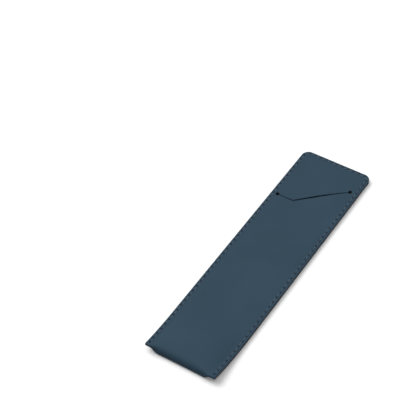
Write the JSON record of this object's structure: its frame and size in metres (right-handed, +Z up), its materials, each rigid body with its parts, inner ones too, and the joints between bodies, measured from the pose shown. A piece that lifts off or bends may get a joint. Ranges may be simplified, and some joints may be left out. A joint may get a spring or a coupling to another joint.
{
  "type": "pen sleeve",
  "caption": "Flat leather sleeve for one pen, folded at the bottom and sewn round three sides, with a bent slit across the front as its mouth and a small lifting tongue above it.",
  "frame": {"origin": "on the surface that the sleeve lies on, under the middle of its length and width", "axes": "+Z up out of the front panel, +Y along the sleeve from the fold to the top edge, +X to the right as the mouth is looked at"},
  "size_m": [0.04, 0.155, 0.005],
  "materials": {
    "face_leather": "smooth fine grain, soft satin",
    "backing": "matt fleece",
    "thread": "bonded polyester, slight sheen"
  },
  "bodies": {
    "sleeve": {"outer_leather": "face_leather", "inner_backing": "backing", "needle_thread": "thread", "bobbin_thread": "thread"},
    "tongue": {"tongue_leather": "face_leather", "tongue_backing": "backing"}
  },
  "joints": [
    {"name": "tongue_lift", "type": "hinge", "parent": "sleeve", "child": "tongue", "pos_m": [-0.0164, 0.0415, 0.00215], "axis": [-0.8393, -0.5437, 0], "range_deg": [0, 70], "stiffness_Nm_per_rad": 0.00005}
  ]
}
